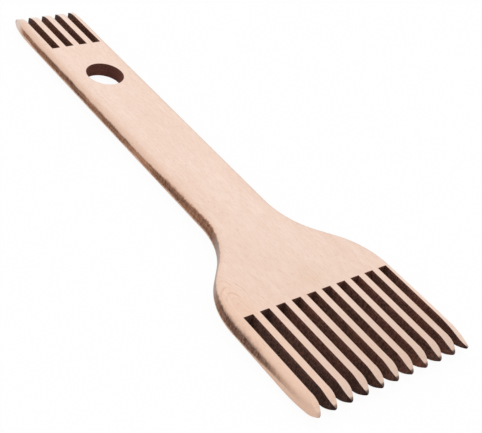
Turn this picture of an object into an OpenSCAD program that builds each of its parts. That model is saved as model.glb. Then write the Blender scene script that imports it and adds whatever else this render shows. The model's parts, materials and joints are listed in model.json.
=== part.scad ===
// Weaving comb cut from one sheet of five-ply board.
// A broad row of teeth, a neck, a long handle with a hanging hole, and a narrow row of teeth.
// X runs along the comb towards the broad teeth, Y across it and Z up from the back face.
// The origin lies on the back face, under the middle of the comb.

/* [Board] */
// Thickness of the face veneer and of the back veneer
face_t = 0.9; // [0.7:0.05:1.2]
// Thickness of each of the two cross-grained veneers
cross_t = 0.9; // [0.7:0.05:1.4]
// Thickness of the core veneer
core_t = 1; // [0.9:0.05:1.8]
// Thickness of each of the four glue lines
glue_t = 0.1; // [0.06:0.01:0.14]

/* [Teeth] */
// Width of every tooth
tooth_w = 2.7; // [2.2:0.1:3.5]
// Width left at the very tip of a tooth
tip_w = 0.5; // [0.3:0.05:0.8]
// Thickness left at the very tip of a tooth
tip_t = 0.8; // [0.5:0.05:0.85]
// Length over which the outer side of the outermost teeth curves in to the tip
corner_len = 12.7; // [9:0.1:16]

/* [Broad end] */
// Number of teeth at the broad end
broad_teeth = 11; // [9:1:15]
// Gap between two teeth at the broad end
broad_gap = 3.3; // [2.6:0.1:4.4]
// Length of the teeth at the broad end
broad_len = 36; // [26:0.5:48]
// Length over which these teeth draw in to their tips, seen from above
broad_point = 3.8; // [2.6:0.1:6]
// Length over which the faces slope down to these tips
broad_slope = 6.4; // [4.6:0.1:10]
// How far the gaps at the broad end lie off the comb's middle line, which leaves the outermost teeth unequal
broad_shift = 0.75; // [0:0.05:0.8]

/* [Narrow end] */
// Number of teeth at the narrow end
narrow_teeth = 5; // [4:1:6]
// Gap between two teeth at the narrow end
narrow_gap = 2.95; // [2.4:0.05:4]
// Length of the teeth at the narrow end
narrow_len = 24; // [20:0.5:34]
// Length over which these teeth draw in to their tips, seen from above
narrow_point = 2; // [1.6:0.1:5]
// Length over which the faces slope down to these tips
narrow_slope = 5; // [3.8:0.1:8]
// How far the gaps at the narrow end and the hanging hole lie off the comb's middle line
narrow_shift = 0.4; // [0:0.05:0.8]

/* [Handle and neck] */
// Length of the whole comb, from the narrow tips to the broad tips
comb_len = 199; // [170:1:240]
// Diameter of the hanging hole
hole_d = 13.3; // [8:0.1:16]
// Distance from the roots of the narrow teeth to the centre of the hole
hole_from_roots = 19.8; // [14:0.2:36]
// Length of the neck's curve, which ends at the roots of the broad teeth
neck_len = 40.4; // [32:0.4:60]
// Slope of the neck's straight flank, as a multiple of the slope of the whole neck
neck_fullness = 1.75; // [1.3:0.05:1.9]

/* [Hidden] */
$fn = 96;
// How far a cutting shape runs past what it cuts
past = 1;

// Heights at which the layers begin, from the back face up
back_glue_z = face_t;
lower_cross_z = back_glue_z + glue_t;
lower_core_glue_z = lower_cross_z + cross_t;
core_z = lower_core_glue_z + glue_t;
upper_core_glue_z = core_z + core_t;
upper_cross_z = upper_core_glue_z + glue_t;
face_glue_z = upper_cross_z + cross_t;
face_z = face_glue_z + glue_t;
board_t = face_z + face_t;

// Widths across the two rows of teeth, which are also those of the head and the handle
broad_pitch = tooth_w + broad_gap;
narrow_pitch = tooth_w + narrow_gap;
head_w = (broad_teeth - 1) * broad_pitch + tooth_w;
handle_w = (narrow_teeth - 1) * narrow_pitch + tooth_w;

// Stations along X
broad_tip_x = comb_len / 2;
broad_root_x = broad_tip_x - broad_len;
narrow_tip_x = -comb_len / 2;
narrow_root_x = narrow_tip_x + narrow_len;
hole_x = narrow_root_x + hole_from_roots;
neck_end_x = broad_root_x;
neck_start_x = neck_end_x - neck_len;

// The neck: a hollow arc, a straight flank and a round arc of the same radius, all tangent
neck_rise = (head_w - handle_w) / 2;
neck_angle = neck_fullness * atan(neck_rise / neck_len);
neck_reach = neck_len * sin(neck_angle) - neck_rise * cos(neck_angle);
neck_r = neck_reach / (1 - cos(neck_angle)) / 2;
hollow_centre = [neck_start_x, handle_w / 2 + neck_r];
round_centre = [neck_end_x, head_w / 2 - neck_r];
flank_start = hollow_centre + neck_r * [sin(neck_angle), -cos(neck_angle)];
flank_end = round_centre + neck_r * [-sin(neck_angle), cos(neck_angle)];

// Corners of the blank's upper edge, with the hollow filled to its chord and the shoulder still sharp
shoulder = [neck_end_x - neck_r * tan(neck_angle / 2), head_w / 2];
upper_corners = [
    [narrow_tip_x, handle_w / 2], [neck_start_x, handle_w / 2], flank_start,
    shoulder, [broad_tip_x, head_w / 2]
];
// The same corners on the lower edge, in the order that closes the outline
lower_corners = [for (i = [len(upper_corners) - 1 : -1 : 0]) below(upper_corners[i])];

// How far each side of a tooth draws in at its tip, and each face of the board
tip_draw = (tooth_w - tip_w) / 2;
tip_drop = (board_t - tip_t) / 2;

// Radius of an arc that leaves a straight edge and falls by drop over run
function arc_radius(run, drop) = (run * run + drop * drop) / (2 * drop);

// A point mirrored to the other side of the comb's middle line
function below(point) = [point[0], -point[1]];

// What an arc that starts at the origin along +X cuts away above it
module arc_waste(run, drop) {
    radius = arc_radius(run, drop);
    difference() {
        translate([0, -drop - past])
            square([run + past, drop + 2 * past]);
        translate([0, -radius])
            circle(r = radius);
    }
}

// One gap between two teeth, with its root at the origin and its flared mouth towards +X
module tooth_gap(gap, length, point) {
    square_across(length + past, gap);
    translate([length - point, 0])
        difference() {
            square_across(point + past, gap + tooth_w);
            for (side = [0, 1])
                mirror([0, side])
                    translate([0, gap / 2 + arc_radius(point, tip_draw)])
                        circle(r = arc_radius(point, tip_draw));
        }
}

// A rectangle from the origin towards +X, centred across it
module square_across(length, width) {
    translate([0, -width / 2])
        square([length, width]);
}

// All gaps of one row of teeth
module gap_row(teeth, pitch, gap, length, point) {
    for (i = [1 : teeth - 1])
        translate([0, (i - teeth / 2) * pitch])
            tooth_gap(gap, length, point);
}

// The handle, the neck and the head, before the teeth are cut
module blank() {
    difference() {
        polygon(concat(upper_corners, lower_corners));
        for (side = [0, 1])
            mirror([0, side]) {
                translate(hollow_centre)
                    circle(r = neck_r);
                shoulder_waste();
            }
    }
}

// What the round arc of the neck takes off the sharp shoulder
module shoulder_waste() {
    difference() {
        polygon([
            flank_end, flank_end + past * [-sin(neck_angle), cos(neck_angle)], shoulder + past * [-1, 1],
            [neck_end_x, shoulder[1] + past], [neck_end_x, shoulder[1]]
        ]);
        translate(round_centre)
            circle(r = neck_r);
    }
}

// The curves that draw in the outer sides of the outermost teeth at +Y, where the gaps lie nearer by the shifts
module half_corners(broad_nearer, narrow_nearer) {
    translate([broad_tip_x - corner_len, head_w / 2])
        arc_waste(corner_len, tip_draw - broad_nearer);
    translate([narrow_tip_x + corner_len, handle_w / 2])
        mirror([1, 0])
            arc_waste(corner_len, tip_draw - narrow_nearer);
}

// The comb seen from above
module comb_outline() {
    difference() {
        blank();
        half_corners(broad_shift, narrow_shift);
        mirror([0, 1])
            half_corners(-broad_shift, -narrow_shift);
        translate([broad_root_x, broad_shift])
            gap_row(broad_teeth, broad_pitch, broad_gap, broad_len, broad_point);
        translate([narrow_root_x, narrow_shift])
            mirror([1, 0])
                gap_row(narrow_teeth, narrow_pitch, narrow_gap, narrow_len, narrow_point);
        translate([hole_x, narrow_shift])
            circle(d = hole_d);
    }
}

// What the slope of one face takes off a row of teeth, with the tips at X = 0 and the face at Z = 0
module tip_slope(run, width) {
    translate([-run, width / 2 + past, 0])
        rotate([90, 0, 0])
            linear_extrude(width + 2 * past)
                arc_waste(run, tip_drop);
}

// What the slopes at both ends take off one face, with that face at Z = 0
module slopes_waste() {
    translate([broad_tip_x, 0, 0])
        tip_slope(broad_slope, head_w);
    translate([narrow_tip_x, 0, 0])
        mirror([1, 0, 0])
            tip_slope(narrow_slope, handle_w);
}

// One layer of the board, cut to the comb's outline and shaped with the rest
module layer(bottom, thickness) {
    difference() {
        translate([0, 0, bottom])
            linear_extrude(thickness)
                comb_outline();
        translate([0, 0, board_t])
            slopes_waste();
        mirror([0, 0, 1])
            slopes_waste();
    }
}

module back_veneer() {
    color("#F0D6C4")
        layer(0, face_t);
}

module back_glue_line() {
    color("#8A5F45")
        layer(back_glue_z, glue_t);
}

module lower_crossband() {
    color("#D9B79E")
        layer(lower_cross_z, cross_t);
}

module lower_core_glue_line() {
    color("#8A5F45")
        layer(lower_core_glue_z, glue_t);
}

module core_veneer() {
    color("#E6C8B2")
        layer(core_z, core_t);
}

module upper_core_glue_line() {
    color("#8A5F45")
        layer(upper_core_glue_z, glue_t);
}

module upper_crossband() {
    color("#D9B79E")
        layer(upper_cross_z, cross_t);
}

module face_glue_line() {
    color("#8A5F45")
        layer(face_glue_z, glue_t);
}

module face_veneer() {
    color("#F3D9C8")
        layer(face_z, face_t);
}

back_veneer();
back_glue_line();
lower_crossband();
lower_core_glue_line();
core_veneer();
upper_core_glue_line();
upper_crossband();
face_glue_line();
face_veneer();
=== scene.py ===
"""Looks of the weaving comb: each ply and glue line of the board as a shaped mesh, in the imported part's frame."""

import json
import math

import bmesh
import bpy
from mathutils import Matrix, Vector
from mathutils.geometry import tessellate_polygon


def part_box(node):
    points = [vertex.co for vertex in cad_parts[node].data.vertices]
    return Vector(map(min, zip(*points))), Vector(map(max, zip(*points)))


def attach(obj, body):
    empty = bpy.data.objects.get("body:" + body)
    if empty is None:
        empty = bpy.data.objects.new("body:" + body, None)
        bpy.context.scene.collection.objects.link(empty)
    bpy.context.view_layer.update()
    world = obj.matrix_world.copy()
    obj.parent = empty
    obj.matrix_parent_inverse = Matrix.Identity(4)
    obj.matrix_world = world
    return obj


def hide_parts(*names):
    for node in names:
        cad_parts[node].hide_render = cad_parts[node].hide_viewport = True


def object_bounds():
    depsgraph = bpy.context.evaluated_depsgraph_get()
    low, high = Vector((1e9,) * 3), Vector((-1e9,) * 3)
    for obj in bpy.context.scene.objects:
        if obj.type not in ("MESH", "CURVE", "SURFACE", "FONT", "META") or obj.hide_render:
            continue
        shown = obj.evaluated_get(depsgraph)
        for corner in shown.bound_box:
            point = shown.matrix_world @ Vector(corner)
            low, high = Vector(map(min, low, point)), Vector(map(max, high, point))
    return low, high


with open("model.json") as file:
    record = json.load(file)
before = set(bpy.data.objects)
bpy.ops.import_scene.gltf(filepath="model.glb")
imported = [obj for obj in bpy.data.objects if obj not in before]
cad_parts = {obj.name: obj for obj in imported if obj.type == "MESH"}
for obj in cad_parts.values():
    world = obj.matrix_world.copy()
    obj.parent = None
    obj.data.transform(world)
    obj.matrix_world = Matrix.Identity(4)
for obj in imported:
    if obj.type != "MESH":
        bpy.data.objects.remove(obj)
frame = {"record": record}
cad_low, cad_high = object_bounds()

# Sizes in millimetres, as in the part's source
MM = 0.001
BOARD_T = (cad_high.z - cad_low.z) / MM
HEAD_W = (cad_high.y - cad_low.y) / MM
BROAD_TIP_X = cad_high.x / MM
NARROW_TIP_X = cad_low.x / MM
TOOTH_W = 2.7
TIP_W = 0.5
TIP_T = 0.8
CORNER_LEN = 12.7
NECK_LEN = 40.4
NECK_FULLNESS = 1.75
TIP_DRAW = (TOOTH_W - TIP_W) / 2
TIP_DROP = (BOARD_T - TIP_T) / 2

# What sanding and handling take off the square edges of the cut board: the radius on the outer edges, how far
# that rounding reaches in over the face on the worn side at -Y, and the radius on the walls of the gaps and hole
SANDED_R = 1.25
WORN_W = 2.0
ARRIS_R = 0.12

# The shift of the gaps leaves the corner tooth of a row wide at -Y and slim at +Y.
# Sanding has drawn out the slopes of the broad row's slim one
SLIM_SLOPE = 11.5


class Row:
    """One row of teeth. It starts at x = root and points along sign. Its gaps lie off the middle by shift."""

    def __init__(self, teeth, gap, length, point, slope, shift, tip, sign):
        self.teeth, self.gap, self.length, self.point, self.slope = teeth, gap, length, point, slope
        self.shift, self.sign = shift, sign
        self.root = tip - sign * length
        self.pitch = TOOTH_W + gap
        self.width = (teeth - 1) * self.pitch + TOOTH_W


BROAD = Row(teeth=11, gap=3.3, length=36.0, point=3.8, slope=6.4, shift=0.75, tip=BROAD_TIP_X, sign=1)
NARROW = Row(teeth=5, gap=2.95, length=24.0, point=2.0, slope=5.0, shift=0.4, tip=NARROW_TIP_X, sign=-1)

hole = next(m for m in frame["record"]["mounts"] if m["name"] == "hanging_hole")
HOLE_X, HOLE_Y = hole["pos_m"][0] / MM, hole["pos_m"][1] / MM
HOLE_R = hole["dims"]["r_mm"]

# The neck: a hollow arc, a straight flank and a round arc of the same radius
NECK_END_X = BROAD.root
NECK_START_X = NECK_END_X - NECK_LEN
NECK_RISE = (HEAD_W - NARROW.width) / 2
NECK_ANGLE = NECK_FULLNESS * math.atan(NECK_RISE / NECK_LEN)
NECK_REACH = NECK_LEN * math.sin(NECK_ANGLE) - NECK_RISE * math.cos(NECK_ANGLE)
NECK_R = NECK_REACH / (1 - math.cos(NECK_ANGLE)) / 2

# How finely the outline is divided
SIDE_STEPS = 16
END_STEPS = 4
HANDLE_STEPS = 12
ARC_STEPS = 20
HOLE_STEPS = 96

# How finely the shape is divided downwards from a face, and how close two heights may come
ARRIS_STEPS = 3
SANDED_STEPS = 9
SLOPE_STEPS = 9
LEAST_STEP = ARRIS_R / 10

# An edge that bends by less than this is shaded smooth
SMOOTH_ANGLE = math.radians(30)

# What a stretch of the outline is: the cut wall of a gap or the hole, a sanded outer edge, or a tooth's end.
# The faces that close a layer above and below are its caps
WALL, EDGE, END, CAP = range(4)

# Which of a layer's three materials each of these takes
MATERIAL_OF = {CAP: 0, END: 0, WALL: 1, EDGE: 2}


def arc_radius(run, drop):
    """Radius of an arc that leaves a straight edge and falls by drop over run."""
    return (run * run + drop * drop) / (2 * drop)


def fallen(t, run, drop):
    """How far that arc has fallen at a distance t from its start."""
    radius = arc_radius(run, drop)
    return radius - math.sqrt(radius * radius - t * t) if t > 0 else 0.0


def inset_at(depth, radius):
    """How far a rounded edge lies inside the square one, at a depth below the face."""
    return radius - math.sqrt(radius * radius - (radius - depth) ** 2) if depth < radius else 0.0


def reach_at(depth, length, slope):
    """How far a tooth reaches at a depth below the face, which slopes down to the tip."""
    if depth >= TIP_DROP:
        return length
    radius = arc_radius(slope, TIP_DROP)
    return length - slope + math.sqrt(radius * radius - (radius - depth) ** 2)


def spread(steps):
    """Fractions from 0 to 1 that lie closer together towards 1."""
    return [1 - (1 - i / steps) ** 2 for i in range(steps + 1)]


def between(p, q, steps):
    """The points that divide the straight way from p to q."""
    return [(p[0] + (q[0] - p[0]) * i / steps, p[1] + (q[1] - p[1]) * i / steps) for i in range(1, steps)]


def outer_edge(inset, side, narrow_reach, broad_reach):
    """Points of the outer edge from the narrow tip to the broad tip, as at +Y.

    The gaps are shifted towards this edge if side is 1, and away from it if side is -1.
    """
    def tooth_side(row, half_w, reach):
        corner_r = arc_radius(CORNER_LEN, TIP_DRAW - side * row.shift)
        slimness = 1 - (TOOTH_W - side * row.shift) / (TOOTH_W + row.shift)
        points = []
        for f in spread(SIDE_STEPS):
            t = max(f * reach - row.length + CORNER_LEN, 0)
            # The rounding of a slim tooth shrinks over the first half of its length
            tooth_inset = inset * (1 - slimness * min(2 * f, 1))
            y = half_w - corner_r + math.sqrt((corner_r - tooth_inset) ** 2 - t * t)
            points.append((row.root + row.sign * f * reach, y))
        return points

    def arc(x, y, radius, start, turn):
        angles = [start + turn * i / ARC_STEPS for i in range(ARC_STEPS + 1)]
        return [(x + radius * math.cos(a), y + radius * math.sin(a)) for a in angles]

    narrow = tooth_side(NARROW, NARROW.width / 2, narrow_reach)[::-1]
    hollow = arc(NECK_START_X, NARROW.width / 2 + NECK_R, NECK_R + inset, -math.pi / 2, NECK_ANGLE)
    shoulder = arc(NECK_END_X, HEAD_W / 2 - NECK_R, NECK_R - inset, math.pi / 2 + NECK_ANGLE, -NECK_ANGLE)
    broad = tooth_side(BROAD, HEAD_W / 2, broad_reach)
    handle = between(narrow[-1], hollow[0], HANDLE_STEPS)
    return narrow + handle + hollow + shoulder[:-1] + broad


def gap_walls(row, number, arris, reach, next_reach):
    """Points along a gap's two walls, from one tooth's tip in and out to the next one's, against the clock."""
    middle = row.shift + row.sign * (number - row.teeth / 2) * row.pitch

    def wall(side, tooth_reach):
        points = []
        for f in spread(SIDE_STEPS):
            along = f * (tooth_reach + arris) - arris
            half = row.gap / 2 + arris + fallen(along - row.length + row.point, row.point, TIP_DRAW)
            points.append((row.root + row.sign * along, middle + side * row.sign * half))
        return points

    return wall(-1, reach)[::-1], wall(1, next_reach)


def outline(z):
    """The comb's outline at a height, against the clock: its points, and what each stretch after a point is."""
    depth = min(z, BOARD_T - z)
    sanded, arris = inset_at(depth, SANDED_R), inset_at(depth, ARRIS_R)
    worn = sanded * (WORN_W / SANDED_R if z > BOARD_T / 2 else 1)
    reaches = {row: reach_at(depth, row.length, row.slope) for row in (BROAD, NARROW)}
    slim_reach = reach_at(depth, BROAD.length, SLIM_SLOPE)
    points, kinds = [], []

    def run(more, kind):
        points.extend(more)
        kinds.extend([kind] * len(more))

    def teeth(row, start, finish, last_reach):
        """The gaps and the teeth's ends of a row, from the end of one outer edge to the start of the other."""
        before = start
        for number in range(1, row.teeth):
            next_reach = last_reach if number == row.teeth - 1 else reaches[row]
            inward, outward = gap_walls(row, number, arris, reaches[row], next_reach)
            run(between(before, inward[0], END_STEPS), END)
            run(inward + outward[:-1], WALL)
            run(outward[-1:], END)
            before = outward[-1]
        run(between(before, finish, END_STEPS), END)

    wide = [(x, -y) for x, y in outer_edge(worn, -1, reaches[NARROW], reaches[BROAD])]
    slim = outer_edge(sanded, 1, reaches[NARROW], slim_reach)[::-1]
    run(wide[:-1], EDGE)
    run(wide[-1:], END)
    teeth(BROAD, wide[-1], slim[0], slim_reach)
    run(slim[:-1], EDGE)
    run(slim[-1:], END)
    teeth(NARROW, slim[-1], wide[0], reaches[NARROW])
    return points, kinds


def hole_ring(depth):
    """The hole's rim at a depth below the nearer face, with the clock."""
    radius = HOLE_R + inset_at(depth, ARRIS_R)
    angles = [-2 * math.pi * i / HOLE_STEPS for i in range(HOLE_STEPS)]
    return [(HOLE_X + radius * math.cos(a), HOLE_Y + radius * math.sin(a)) for a in angles]


def depth_marks():
    """Depths below a face at which the shape is divided, for the arris, the sanded edge and the tips' slope."""
    marks = {0.0, TIP_DROP}
    for radius, steps in ((ARRIS_R, ARRIS_STEPS), (SANDED_R, SANDED_STEPS)):
        marks.update(radius * (1 - math.cos(math.pi / 2 * i / steps)) for i in range(1, steps + 1))
    for i in range(1, SLOPE_STEPS):
        marks.add(fallen(BROAD.slope * i / SLOPE_STEPS, BROAD.slope, TIP_DROP))
    return marks


def levels(low, high):
    """Heights at which a layer from low to high is divided."""
    inner = [z for mark in depth_marks() for z in (mark, BOARD_T - mark) if low < z < high]
    kept = [low]
    for z in sorted(inner) + [high]:
        if z - kept[-1] > LEAST_STEP:
            kept.append(z)
    kept[-1] = high
    return kept


def loops_at(z):
    """The outline and the hole's rim at a height, each with what its stretches are."""
    depth = min(z, BOARD_T - z)
    points, kinds = outline(z)
    # Between the two slopes the teeth end bluntly, and these ends are charred like the walls
    if depth > TIP_DROP - LEAST_STEP:
        kinds = [WALL if kind == END else kind for kind in kinds]
    rim = hole_ring(depth)
    return (points, kinds), (rim, [WALL] * len(rim))


def layer_mesh(node):
    """A closed mesh of one layer of the board, between the heights of its CAD node."""
    low, high = (corner.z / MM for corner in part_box(node))
    bm = bmesh.new()
    kind_of = bm.faces.layers.int.new("kind")
    rings = [
        [([bm.verts.new((x * MM, y * MM, z * MM)) for x, y in loop], kinds) for loop, kinds in loops_at(z)]
        for z in levels(low, high)
    ]
    for below, above in zip(rings, rings[1:]):
        for (lower, kinds), (upper, upper_kinds) in zip(below, above):
            for i, kind in enumerate(kinds):
                j = (i + 1) % len(lower)
                face = bm.faces.new((lower[i], lower[j], upper[j], upper[i]))
                face[kind_of] = END if upper_kinds[i] == END else kind
    for ring in (rings[0], rings[-1]):
        verts = [v for loop, _ in ring for v in loop]
        for triangle in tessellate_polygon([[v.co for v in loop] for loop, _ in ring]):
            face = bm.faces.new([verts[i] for i in triangle])
            face[kind_of] = CAP
    bmesh.ops.recalc_face_normals(bm, faces=bm.faces)
    for face in bm.faces:
        face.smooth = True
        face.material_index = MATERIAL_OF[face[kind_of]]
    for edge in bm.edges:
        capped = [face[kind_of] == CAP for face in edge.link_faces]
        edge.smooth = capped[0] == capped[1] and edge.calc_face_angle(0) < SMOOTH_ANGLE
    mesh = bpy.data.meshes.new(node)
    bm.to_mesh(mesh)
    bm.free()
    return mesh


def srgb(red, green, blue):
    """A colour given in the usual 0 to 255 steps."""
    def linear(step):
        c = step / 255
        return c / 12.92 if c <= 0.04045 else ((c + 0.055) / 1.055) ** 2.4
    return (linear(red), linear(green), linear(blue), 1.0)


# The sockets of a Mix node that mixes colours
MIX_SHARE, MIX_FIRST, MIX_SECOND, MIX_RESULT = 0, 6, 7, 2


def add_node(tree, kind, inputs=None, **settings):
    """A new shader node, each of whose inputs is set to a value or linked to a socket."""
    made = tree.nodes.new("ShaderNode" + kind)
    for name, value in settings.items():
        setattr(made, name, value)
    for name, value in (inputs or {}).items():
        if isinstance(value, bpy.types.NodeSocket):
            tree.links.new(value, made.inputs[name])
        else:
            made.inputs[name].default_value = value
    return made


class Finish:
    """A material under construction. Its places x, y and z are in millimetres, in the part's frame."""

    def __init__(self, name, roughness, specular):
        self.material = bpy.data.materials.new(name)
        self.material.use_nodes = True
        self.tree = self.material.node_tree
        self.bsdf = self.tree.nodes["Principled BSDF"]
        self.bsdf.inputs["Roughness"].default_value = roughness
        self.bsdf.inputs["Specular IOR Level"].default_value = specular
        self.place = self.node("TexCoord").outputs["Object"]
        split = self.node("SeparateXYZ", {0: self.place})
        self.x, self.y, self.z = (self.times(metres, 1 / MM) for metres in split.outputs)

    def node(self, kind, inputs=None, **settings):
        return add_node(self.tree, kind, inputs, **settings)

    def math(self, operation, first, *others):
        """A value joined with others, one after the other."""
        for other in others:
            first = self.node("Math", {0: first, 1: other}, operation=operation).outputs[0]
        return first

    def plus(self, *values):
        return self.math("ADD", *values)

    def minus(self, value, less):
        return self.math("SUBTRACT", value, less)

    def times(self, *values):
        return self.math("MULTIPLY", *values)

    def ranged(self, value, low, high, to_low=0.0, to_high=1.0):
        """A value brought smoothly from the range low to high into another."""
        inputs = {"Value": value, "From Min": low, "From Max": high, "To Min": to_low, "To Max": to_high}
        return self.node("MapRange", inputs, interpolation_type="SMOOTHSTEP").outputs[0]

    def near(self, value, spot, reach):
        """1 at a spot, and 0 from a reach away on."""
        away = self.node("Math", {0: self.minus(value, spot)}, operation="ABSOLUTE").outputs[0]
        return self.ranged(away, reach, 0)

    def noise(self, spacing, detail=2.0, roughness=0.5, distortion=0.0, shift=0.0):
        """Noise from 0 to 1 whose features are about spacing millimetres apart along X, Y and Z."""
        scale = tuple(1 / (MM * s) for s in spacing)
        spot = self.node("Mapping", {"Vector": self.place, "Scale": scale, "Location": (shift, shift, shift)})
        inputs = {"Vector": spot.outputs[0], "Scale": 1.0, "Detail": detail, "Roughness": roughness,
                  "Distortion": distortion}
        return self.node("TexNoise", inputs).outputs["Fac"]

    def mottle(self, spacing, low, high, **kind):
        """Such noise with more contrast: 0 where it is below low, and 1 where it is above high."""
        return self.ranged(self.noise(spacing, **kind), low, high)

    def mix(self, share, first, second):
        inputs = {MIX_SHARE: share, MIX_FIRST: first, MIX_SECOND: second}
        return self.node("Mix", inputs, data_type="RGBA").outputs[MIX_RESULT]

    def tint(self, colour, tone, *shares):
        """A colour mixed with a tone, by the product of the shares."""
        return self.mix(self.times(*shares), colour, tone)

    def done(self, colour, height, depth_mm):
        """Connects the colour, and a bump of the given depth."""
        self.tree.links.new(colour, self.bsdf.inputs["Base Color"])
        bump = self.node("Bump", {"Height": height, "Strength": 1.0, "Distance": depth_mm * MM})
        self.tree.links.new(bump.outputs[0], self.bsdf.inputs["Normal"])
        return self.material


# Planed beech, and what handling and the hot beam have made of it
BEECH_PALE, BEECH_DEEP, BEECH_BLOTCH = srgb(250, 226, 211), srgb(246, 216, 199), srgb(238, 205, 186)
FLECK, RING = srgb(206, 158, 128), srgb(220, 172, 144)
HELD, RUBBED, WARMED = srgb(236, 204, 186), srgb(234, 200, 180), srgb(240, 203, 178)
# Of these, the pale tip tint is a painted highlight on the narrow tips' slopes
TEETH_GREY, TANNED, NARROW_TIP_HIGHLIGHT = srgb(205, 172, 152), srgb(230, 194, 168), srgb(240, 232, 227)
TIP_CHAR = srgb(70, 52, 47)

# The growth rings: their middle, the factor on X that draws them out along the comb, and the scale that sets them
# about 1 mm apart
RING_X, RING_Y = 60, -26
RING_STRETCH = 0.42
RING_SCALE = 0.3

# The walls of the gaps and the hole
# Soot, also used as painted shade in the deep roots of the broad gaps
SOOT_AND_SHADE = srgb(46, 28, 24)
WALL_DARK, WALL_LIGHT, WALL_PATCH = srgb(90, 59, 50), srgb(130, 84, 70), srgb(156, 94, 74)
WALL_GRAIN, WALL_SOOTY, WALL_NARROW = srgb(162, 114, 95), srgb(110, 86, 80), srgb(112, 66, 36)
MOUTH_GREY, TIP_BROWN, TIP_CLEAN = srgb(84, 78, 80), srgb(138, 92, 68), srgb(200, 176, 166)
# The hole's wall: painted shade on one side and painted light on the other
HOLE_SHADED, HOLE_LIT = srgb(102, 60, 52), srgb(142, 92, 80)

# The outer edges: their bare wood, and the band of char along them with its usual top in millimetres
# The first of these is partly painted shade on the worn side, which faces away from the light
EDGE_WARMED_AND_SHADED, EDGE_GREYED, EDGE_BLEACHED = srgb(238, 198, 174), srgb(204, 186, 176), srgb(243, 228, 219)
BAND_DARK, BAND_LIGHT, BAND_STREAK = srgb(100, 58, 35), srgb(136, 86, 58), srgb(192, 134, 97)
BAND_UPRIGHT, BAND_ROOTS, BAND_SPECK = srgb(76, 43, 27), srgb(80, 50, 42), srgb(200, 152, 124)
BAND_CHARRED, BAND_SANDED, BAND_HOLLOW = srgb(72, 38, 22), srgb(204, 148, 116), srgb(118, 102, 98)
BAND_TOP = 3.7

# Places along X where sanding took more of the char off the edge, or less, how much, and over what reach
SANDED_SPOTS = ((-82, 0.15), (-38, 0.2), (-12, 0.5), (19, 0.1))
CHARRED_SPOTS = ((-57, 0.5), (-27, 0.15), (8, 0.22), (28, 0.2))
SANDED_REACH = 12
CHARRED_REACH = 14

# The glue lines
GLUE_PALE, GLUE_DEEP = srgb(236, 206, 188), srgb(226, 194, 175)

# The middle of the noise's range
NOISE_MIDDLE = 0.5


def charred_tips(finish, colour):
    """A colour darkened by the char left at the teeth's very ends, though hardly on the wide and the slim one."""
    x, y = finish.x, finish.y
    not_wide = finish.ranged(y, -31, -20, 0.25, 1.0)
    not_slim = finish.ranged(y, 29.5, 28, 0.35, 1.0)
    broad = finish.times(finish.ranged(x, 98.4, 99.1, 0.0, 0.95), not_wide, not_slim)
    narrow = finish.ranged(x, -98.2, -99.4, 0.0, 0.45)
    return finish.tint(colour, TIP_CHAR, finish.plus(broad, narrow))


def ring_lines(finish):
    """Growth rings that come out on the shoulder as thin wavy arcs, drawn out along the comb."""
    middle = (-RING_STRETCH * RING_X * MM, -RING_Y * MM, 0)
    spot = finish.node("Mapping", {"Vector": finish.place, "Scale": (RING_STRETCH, 1, 1), "Location": middle})
    inputs = {"Vector": spot.outputs[0], "Scale": RING_SCALE / MM, "Distortion": 4.0, "Detail": 3.0,
              "Detail Scale": 0.9}
    rings = finish.node("TexWave", inputs, wave_type="RINGS", rings_direction="Z")
    faint = finish.ranged(finish.noise((3, 2, 3), shift=7.0), 0.36, 0.58, 0.1, 0.7)
    shoulder = finish.times(finish.ranged(finish.y, -19, -22.5), finish.near(finish.x, 54, 10))
    return finish.times(finish.ranged(rings.outputs["Fac"], 0.6, 1.0), faint, shoulder)


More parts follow.
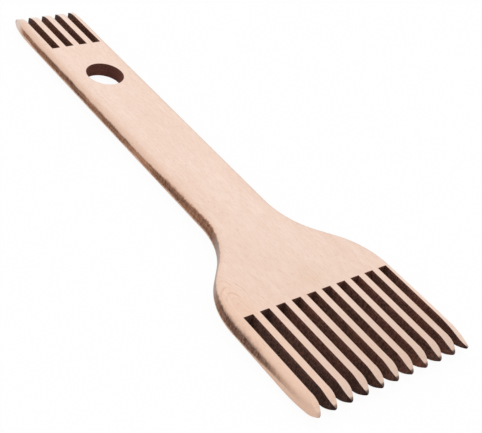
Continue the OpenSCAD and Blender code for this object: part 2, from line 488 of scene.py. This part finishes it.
def beech_colour(finish, turned=False):
    """Colour and height of planed beech: cloudy tone, soft figure, and fibres and ray flecks along the grain."""
    def along(length, width):
        return (width, length, width) if turned else (length, width, width)

    x, y = finish.x, finish.y
    cloud = finish.mottle(along(60, 24), 0.35, 0.68, detail=3)
    figure = finish.mottle(along(45, 3.2), 0.4, 0.68, detail=3, distortion=0.8)
    blotch = finish.mottle((4, 3, 3), 0.36, 0.66, detail=3, shift=2.0)
    fibre = finish.mottle(along(3, 0.3), 0.3, 0.7)
    rays = finish.mottle(along(1.5, 0.22), 0.6, 0.72, detail=1)
    tone = finish.plus(finish.times(cloud, 0.55), finish.times(figure, 0.45))
    colour = finish.mix(tone, BEECH_PALE, BEECH_DEEP)
    colour = finish.tint(colour, BEECH_BLOTCH, blotch, 0.22)
    colour = finish.tint(colour, RING, ring_lines(finish))
    # The handle is rubbed by the hand, most of all its edge at -Y
    colour = finish.tint(colour, HELD, finish.near(x, -20, 34), finish.near(y, 2, 13), 0.3)
    colour = finish.tint(colour, RUBBED, finish.ranged(y, -7, -12, 0.0, 0.4), finish.ranged(x, 26, 10))
    # Handling has warmed the shoulder and the wide tooth at -Y, and the other teeth are greyer towards the broad
    # tips, the outermost ones less
    colour = finish.tint(colour, WARMED, finish.ranged(y, -18, -26, 0.0, 0.65), finish.ranged(x, 42, 62))
    greying = finish.plus(finish.ranged(x, -10, 50, 0.0, 0.1), finish.ranged(x, 58, 90, 0.0, 0.36))
    inner = finish.times(finish.ranged(y, -33, -8, 0.1, 1.0), finish.ranged(y, 31, 26, 0.2, 1.0))
    colour = finish.tint(colour, TEETH_GREY, greying, inner)
    # The beam has tanned a spot at the roots of the middle teeth
    colour = finish.tint(colour, TANNED, finish.near(x, 58, 9), finish.near(y, 2, 10), 0.35)
    # The narrow tips' slopes get a painted highlight, paler where they face the light, and a little of the char is
    # left at the very ends
    colour = finish.tint(colour, NARROW_TIP_HIGHLIGHT, finish.ranged(x, -93.5, -97, 0.0, 0.6))
    colour = charred_tips(finish, colour)
    colour = finish.tint(colour, FLECK, fibre, 0.17)
    colour = finish.tint(colour, FLECK, rays, 0.34)
    return colour, finish.minus(fibre, rays)


def beech(name, turned=False):
    """The planed faces of a ply, and what the slopes of the teeth lay bare of it."""
    finish = Finish(name, roughness=0.55, specular=0.3)
    colour, height = beech_colour(finish, turned)
    return finish.done(colour, height, depth_mm=0.01)


def scorched(name, darkening):
    """A wall cut with a hot beam: charred brown, with streaks along the cut and fine upright marks."""
    finish = Finish(name, roughness=0.8, specular=0.1)
    x, y, z = finish.x, finish.y, finish.z
    streak = finish.mottle((9, 6, 0.5), 0.34, 0.68, detail=3)
    patch = finish.mottle((10, 7, 8), 0.38, 0.7, detail=3)
    upright = finish.mottle((0.35, 0.35, 3), 0.36, 0.7, detail=3, roughness=0.65)
    grain = finish.mottle((0.7, 0.5, 0.6), 0.42, 0.64)
    colour = finish.mix(streak, WALL_DARK, WALL_LIGHT)
    colour = finish.tint(colour, WALL_PATCH, patch, 0.65)
    # Soot greys the broad gaps, most of all near the wide tooth, and the narrow ones stay browner
    colour = finish.tint(colour, WALL_SOOTY, finish.ranged(x, 55, 66), finish.ranged(y, -10, -24, 0.15, 0.75))
    colour = finish.tint(colour, WALL_NARROW, finish.ranged(x, -62, -76, 0.0, 0.35))
    colour = finish.tint(colour, SOOT_AND_SHADE, upright, 0.68)
    colour = finish.tint(colour, WALL_GRAIN, grain, 0.55)
    # The broad gaps darken towards their mouths, at their roots with soot and painted shade, and the narrow ones
    # grey at their mouths
    colour = finish.tint(colour, SOOT_AND_SHADE, finish.ranged(x, 78, 92, 0.0, 0.22))
    root_soot_and_shade = finish.times(finish.ranged(x, 67, BROAD.root, 0.0, 0.4), finish.ranged(x, 55, 60))
    colour = finish.tint(colour, SOOT_AND_SHADE, root_soot_and_shade, finish.ranged(y, 4, -12, 0.25, 1.0))
    colour = finish.tint(colour, MOUTH_GREY, finish.ranged(x, -94, -98, 0.0, 0.6))
    # The broad tips are blackest at -Y, on the slim tooth and at their very ends
    black = finish.times(finish.ranged(x, 90, 96, 0.0, 0.5), finish.ranged(y, 2, -10))
    black_slim = finish.times(finish.ranged(x, 86, 96, 0.0, 0.35), finish.ranged(y, 26, 28))
    black_end = finish.ranged(x, 97.6, 99, 0.0, 0.45)
    colour = finish.tint(colour, SOOT_AND_SHADE, finish.plus(black, black_slim, black_end))
    # Those between are less charred towards the back
    low = finish.times(finish.ranged(x, 91, 97), finish.ranged(x, 98.4, 97.4), finish.ranged(z, 3, 1.5))
    middle = finish.times(finish.ranged(y, -8, 2), finish.ranged(y, 28, 26))
    colour = finish.tint(colour, TIP_BROWN, low, middle, patch, 0.5)
    # The hole's wall is smoother and redder, with painted shade on its -X side and painted light on its +X side
    red = finish.mix(finish.ranged(x, HOLE_X - HOLE_R, HOLE_X + HOLE_R), HOLE_SHADED, HOLE_LIT)
    colour = finish.tint(colour, red, finish.near(x, HOLE_X, 2 * HOLE_R))
    colour = finish.tint(colour, SOOT_AND_SHADE, darkening)
    # The blunt end of the wide tooth is sanded almost clean
    colour = finish.tint(colour, TIP_CLEAN, finish.ranged(x, 98.9, 99.4, 0.0, 0.8), finish.ranged(y, -28.5, -29))
    return finish.done(colour, upright, depth_mm=0.04)


def char_band(finish, hollow, speck):
    """Where char is left on an outer edge: in a band along its middle."""
    x, z = finish.x, finish.z
    # Its top is lowest along the handle, climbs over the neck and sinks again along the outermost teeth
    climb = finish.plus(finish.ranged(x, -12, 4, 0.0, 0.5), finish.ranged(x, 9, 22, 0.0, 0.4))
    sink = finish.plus(finish.ranged(x, 44, 56, 0.0, 0.22), finish.ranged(x, 70, 90, 0.0, 0.35),
                       finish.times(hollow, 0.25), finish.times(finish.near(x, -15, 9), 0.3))
    top = finish.plus(finish.minus(climb, sink), BAND_TOP)
    bottom = finish.plus(finish.ranged(x, 66, 88, 1.2, 2.4), finish.ranged(x, -78, -88, 0.0, 0.5))
    # Its borders wander, but are straighter and sharper over the neck
    crisp = finish.times(finish.ranged(x, 12, 24), finish.ranged(x, 58, 48))
    sway = finish.minus(finish.noise((5, 5, 40), detail=4), NOISE_MIDDLE)
    sway = finish.times(sway, finish.minus(0.9, finish.times(crisp, 0.6)))
    wander = finish.plus(sway, finish.times(finish.minus(speck, NOISE_MIDDLE), 0.7))
    sharp = finish.minus(finish.times(crisp, 0.25), finish.ranged(x, 54, 66, 0.0, 0.22))
    under_top = finish.plus(finish.minus(top, z), wander)
    over_bottom = finish.minus(finish.minus(z, bottom), wander)
    band = finish.times(finish.ranged(under_top, finish.minus(sharp, 0.4), finish.minus(0.5, sharp)),
                        finish.ranged(over_bottom, -0.5, 0.5))
    # It fades out along the outermost teeth, and the hollow of the neck is sanded cleaner
    left = finish.times(finish.ranged(x, -95, -90), finish.ranged(x, 99, 73))
    left = finish.minus(left, finish.times(hollow, finish.ranged(x, 34, 40, 0.25, 0.42)))
    return finish.times(band, left)


def band_colour(finish, hollow, speck, upright):
    """Colour of that band: brown, with patches, streaks along the cut, fine upright marks and pale specks."""
    x = finish.x
    patch = finish.mottle((13, 13, 30), 0.36, 0.68, detail=3)
    streak = finish.mottle((14, 14, 0.9), 0.42, 0.6, detail=4, roughness=0.62, shift=4.0)
    brown = finish.mix(patch, BAND_DARK, BAND_LIGHT)
    brown = finish.tint(brown, BAND_STREAK, streak, 0.7)
    brown = finish.tint(brown, BAND_UPRIGHT, upright, 0.55)
    # It is darkest beside the roots of the broad teeth
    brown = finish.tint(brown, BAND_ROOTS, finish.ranged(x, 50, 64, 0.0, 0.85), finish.ranged(x, 84, 69))
    brown = finish.tint(brown, BAND_SPECK, finish.ranged(speck, 0.54, 0.7, 0.0, 0.4))
    for spot, share in CHARRED_SPOTS:
        brown = finish.tint(brown, BAND_CHARRED, finish.near(x, spot, CHARRED_REACH), share)
    for spot, share in SANDED_SPOTS:
        brown = finish.tint(brown, BAND_SANDED, finish.near(x, spot, SANDED_REACH), share)
    return finish.tint(brown, BAND_HOLLOW, hollow, 0.65)


def sanded_edge(name, darkening, turned=False):
    """An outer edge: the char is sanded off the rounded arrises and the tips, and stays in a band between."""
    finish = Finish(name, roughness=0.75, specular=0.12)
    x, y, z = finish.x, finish.y, finish.z
    hollow = finish.times(finish.ranged(x, 27, 36), finish.ranged(x, 57, 46))
    speck = finish.noise((0.8, 0.8, 0.6), shift=5.0)
    upright = finish.mottle((0.45, 0.45, 2.5), 0.34, 0.7, detail=3, roughness=0.65)
    wood, height = beech_colour(finish, turned)
    # Handling has warmed the worn side, with painted shade there too, and greyed the other, and the hollow of the
    # neck is bleached
    warm_and_shaded_side = finish.ranged(z, BOARD_T, BOARD_T - 0.3, 0.0, 0.55)
    wood = finish.tint(wood, EDGE_WARMED_AND_SHADED, finish.ranged(y, 5, -5), warm_and_shaded_side, finish.ranged(x, -97, -91))
    wood = finish.tint(wood, EDGE_GREYED, finish.ranged(y, -5, 5, 0.0, 0.3), finish.ranged(x, 80, 60))
    bleached = finish.ranged(z, BOARD_T - 0.5, BOARD_T - 1, 0.1, 0.75)
    wood = finish.tint(wood, EDGE_BLEACHED, hollow, bleached)
    brown = finish.tint(band_colour(finish, hollow, speck, upright), SOOT_AND_SHADE, darkening)
    char = finish.times(char_band(finish, hollow, speck), finish.ranged(upright, 0, 1, 0.88, 1.0))
    colour = finish.mix(char, wood, brown)
    return finish.done(colour, finish.plus(height, upright), depth_mm=0.015)


def glue_line(name):
    """The thin seam between two plies, where it comes out on a sloped tooth."""
    finish = Finish(name, roughness=0.5, specular=0.35)
    tone = finish.mottle((3, 3, 3), 0.35, 0.65)
    colour = charred_tips(finish, finish.mix(tone, GLUE_PALE, GLUE_DEEP))
    return finish.done(colour, tone, depth_mm=0.005)


long_wood = beech("beech_long_grain")
cross_wood = beech("beech_cross_grain", turned=True)
glue_seam = glue_line("glue_seam")

# What shows of each kind of layer: its faces and slopes, its walls in the gaps and the hole, and its outer edges
WOODS = {
    "face_beech": (long_wood, scorched("wall_face_ply", 0.0), sanded_edge("edge_face_ply", 0.0)),
    "core_beech": (long_wood, scorched("wall_core_ply", 0.05), sanded_edge("edge_core_ply", 0.0)),
    "crossband_beech": (
        cross_wood, scorched("wall_crossband", 0.15), sanded_edge("edge_crossband", 0.08, turned=True)
    ),
    "glue": (glue_seam, scorched("wall_glue", 0.3), sanded_edge("edge_glue", 0.2)),
}


def placed(name, data):
    """A new object in the scene."""
    made = bpy.data.objects.new(name, data)
    bpy.context.collection.objects.link(made)
    return made


for subpart in frame["record"]["subparts"]:
    node, slot = subpart["node"], subpart["material_slot"]
    mesh = layer_mesh(node)
    for material in WOODS[slot]:
        mesh.materials.append(material)
    piece = placed("shaped_" + node, mesh)
    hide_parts(node)
    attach(piece, "root")

# The floor, in metres: half its width, how far it lies below the comb, and its colour. The camera sees most of
# it as plain white, and the rest keeps the comb's shadow
FLOOR_HALF = 3.0
FLOOR_BELOW = 0.02 * MM
FLOOR_COLOUR = (0.95, 0.95, 0.95, 1)
FLOOR_WHITENESS = 0.93

# The light: a white dome, and a wide soft sun that shines along SUN_WAY. What is only seen glows at the strength
# that shows as plain white
WHITE = (1, 1, 1, 1)
SEEN_STRENGTH = 1.0
DOME_STRENGTH = 0.7
SUN_STRENGTH = 1.0
SUN_WIDTH = math.radians(60)
SUN_WAY = Vector((0.4, -0.2, -0.88))

# The camera, as solved from the photo
SENSOR_MM = 36.0
LENS_MM = 79.21
CLIP_START = 0.01
CAMERA_AT = Vector((202.77, -198.29, 202.44)) * MM
CAMERA_TURN = (math.radians(51.91), math.radians(-13.997), math.radians(52.40))


def white_where_seen(tree, lit, seen, share=1.0):
    """Mixes a shader that lights the scene with a share of one that the camera and mirror rays see."""
    rays = add_node(tree, "LightPath").outputs
    total = rays["Is Camera Ray"]
    for name in ("Is Glossy Ray", "Is Transmission Ray"):
        total = add_node(tree, "Math", {0: total, 1: rays[name]}, operation="MAXIMUM").outputs[0]
    part = add_node(tree, "Math", {0: total, 1: share}, operation="MULTIPLY")
    both = add_node(tree, "MixShader", {0: part.outputs[0], 1: lit.outputs[0], 2: seen.outputs[0]})
    return both.outputs[0]


def empty_tree(owner):
    """The node tree of a material or world, with nothing in it."""
    owner.use_nodes = True
    owner.node_tree.nodes.clear()
    return owner.node_tree


floor_paint = bpy.data.materials.new("floor_white")
tree = empty_tree(floor_paint)
matt = add_node(tree, "BsdfDiffuse", {"Color": FLOOR_COLOUR})
glow = add_node(tree, "Emission", {"Color": WHITE, "Strength": SEEN_STRENGTH})
add_node(tree, "OutputMaterial", {"Surface": white_where_seen(tree, matt, glow, FLOOR_WHITENESS)})

floor_mesh = bpy.data.meshes.new("floor")
corners = [(x * FLOOR_HALF, y * FLOOR_HALF, 0) for x, y in ((-1, -1), (1, -1), (1, 1), (-1, 1))]
floor_mesh.from_pydata(corners, [], [(0, 1, 2, 3)])
floor_mesh.materials.append(floor_paint)
floor = placed("floor", floor_mesh)
floor.location.z = cad_low.z - FLOOR_BELOW

world = bpy.data.worlds.new("studio")
tree = empty_tree(world)
dome = add_node(tree, "Background", {"Color": WHITE, "Strength": DOME_STRENGTH})
backdrop = add_node(tree, "Background", {"Color": WHITE, "Strength": SEEN_STRENGTH})
add_node(tree, "OutputWorld", {"Surface": white_where_seen(tree, dome, backdrop)})

sun = bpy.data.lights.new("key", "SUN")
sun.energy = SUN_STRENGTH
sun.angle = SUN_WIDTH
key = placed("key", sun)
key.rotation_euler = SUN_WAY.to_track_quat("-Z", "Y").to_euler()

view = bpy.data.cameras.new("camera")
view.sensor_width = SENSOR_MM
view.lens = LENS_MM
view.clip_start = CLIP_START
camera = placed("camera", view)
camera.location = CAMERA_AT
camera.rotation_euler = CAMERA_TURN

scene = bpy.context.scene
scene.world = world
scene.view_settings.view_transform = "Standard"
scene.camera = camera
